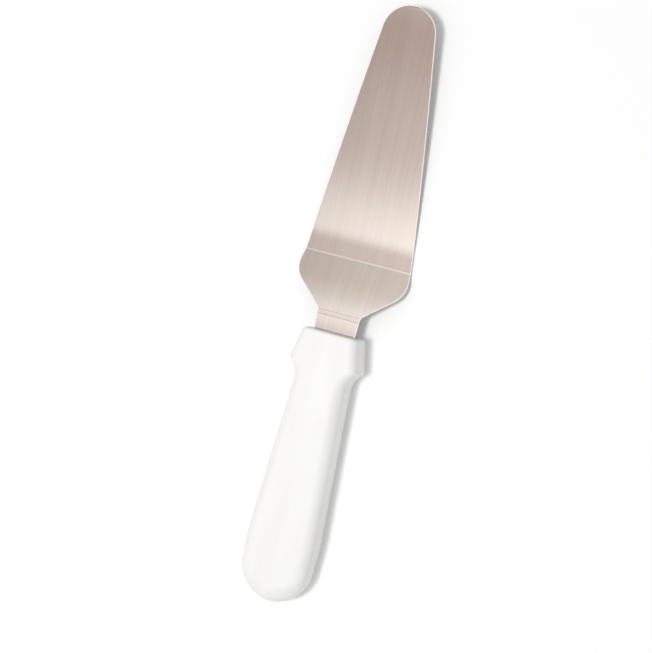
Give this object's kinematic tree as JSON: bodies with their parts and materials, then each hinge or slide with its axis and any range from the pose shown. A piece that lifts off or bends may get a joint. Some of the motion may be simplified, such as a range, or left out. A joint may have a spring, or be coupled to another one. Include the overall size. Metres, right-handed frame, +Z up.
{
  "type": "pie server",
  "caption": "Pie server: a tapering, round-tipped steel blade, cranked down from a flat plastic handle with a flared collar.",
  "frame": {"origin": "on the table plane, under the middle of the whole tool's length and width", "axes": "+X runs along the tool from the handle to the blade's tip, +Y to the left of the blade seen from the handle, +Z up from the table"},
  "size_m": [0.3, 0.0578, 0.018],
  "materials": {
    "steel": "stainless sheet, brushed lengthwise on both faces, edges tumbled round",
    "plastic": "white, smooth moulded, soft satin sheen"
  },
  "bodies": {
    "root": {"blade": "steel", "handle": "plastic"}
  },
  "joints": []
}
